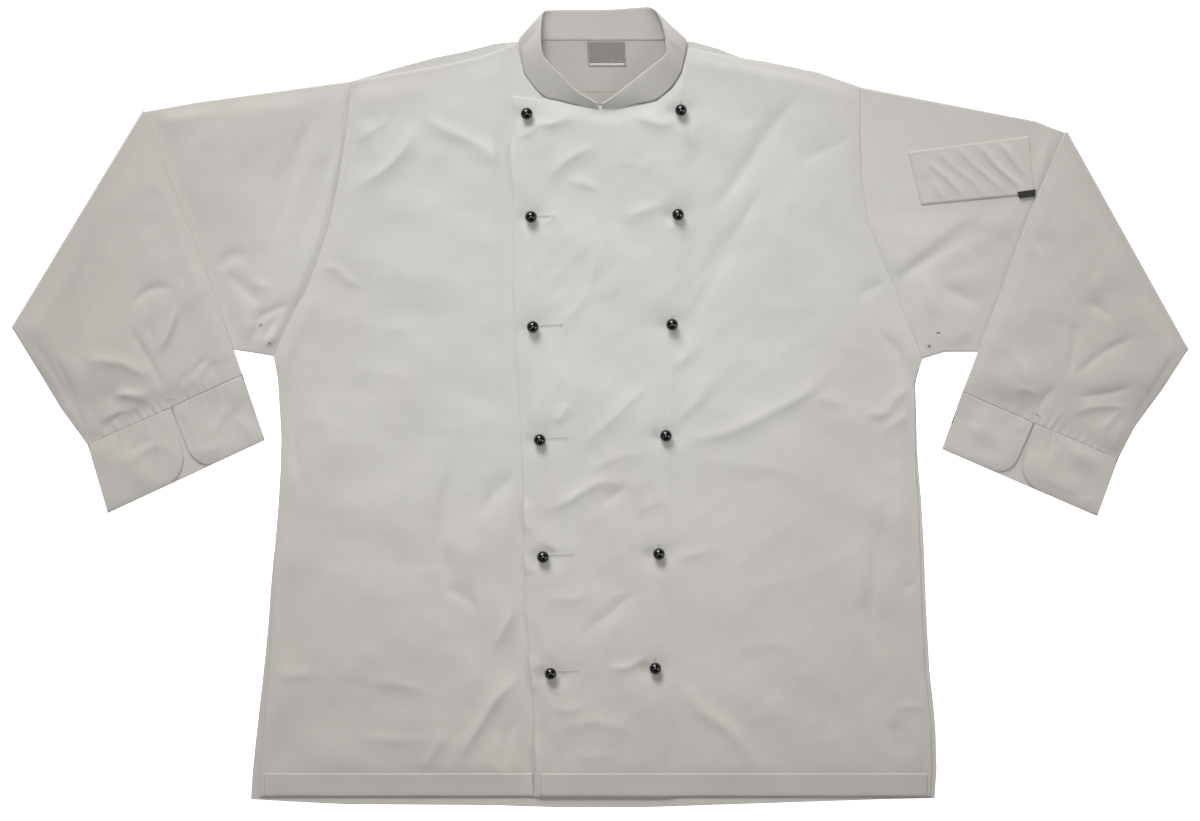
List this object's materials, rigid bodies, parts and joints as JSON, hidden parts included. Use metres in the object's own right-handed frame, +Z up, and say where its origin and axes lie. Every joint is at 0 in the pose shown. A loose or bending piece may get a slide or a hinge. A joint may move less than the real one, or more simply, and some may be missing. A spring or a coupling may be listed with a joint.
{
  "type": "chef jacket",
  "caption": "Long-sleeved double-breasted chef jacket with a stand collar and ball studs, laid flat on its back with both sleeves folded over.",
  "frame": {"origin": "middle of the jacket's box, on the surface that it lies on", "axes": "+X to the wearer's left, +Y from the hem to the neck, +Z up from the surface"},
  "size_m": [1.177, 0.8, 0.0193],
  "materials": {
    "white_twill": "matt warm white polycotton twill",
    "grey_label": "woven grey ribbon, bare",
    "black_tab": "woven black ribbon, bare",
    "black_stud": "polished black"
  },
  "bodies": {
    "root": {"back": "white_twill", "front_right": "white_twill", "front_left": "white_twill", "collar": "white_twill", "sleeve_right": "white_twill", "sleeve_left": "white_twill", "cuff_right": "white_twill", "cuff_left": "white_twill", "sleeve_pocket": "white_twill", "neck_label": "grey_label", "sleeve_tab": "black_tab", "stud_right_1": "black_stud", "stud_right_2": "black_stud", "stud_right_3": "black_stud", "stud_right_4": "black_stud", "stud_right_5": "black_stud", "stud_right_6": "black_stud", "stud_left_1": "black_stud", "stud_left_2": "black_stud", "stud_left_3": "black_stud", "stud_left_4": "black_stud", "stud_left_5": "black_stud", "stud_left_6": "black_stud"}
  },
  "joints": []
}
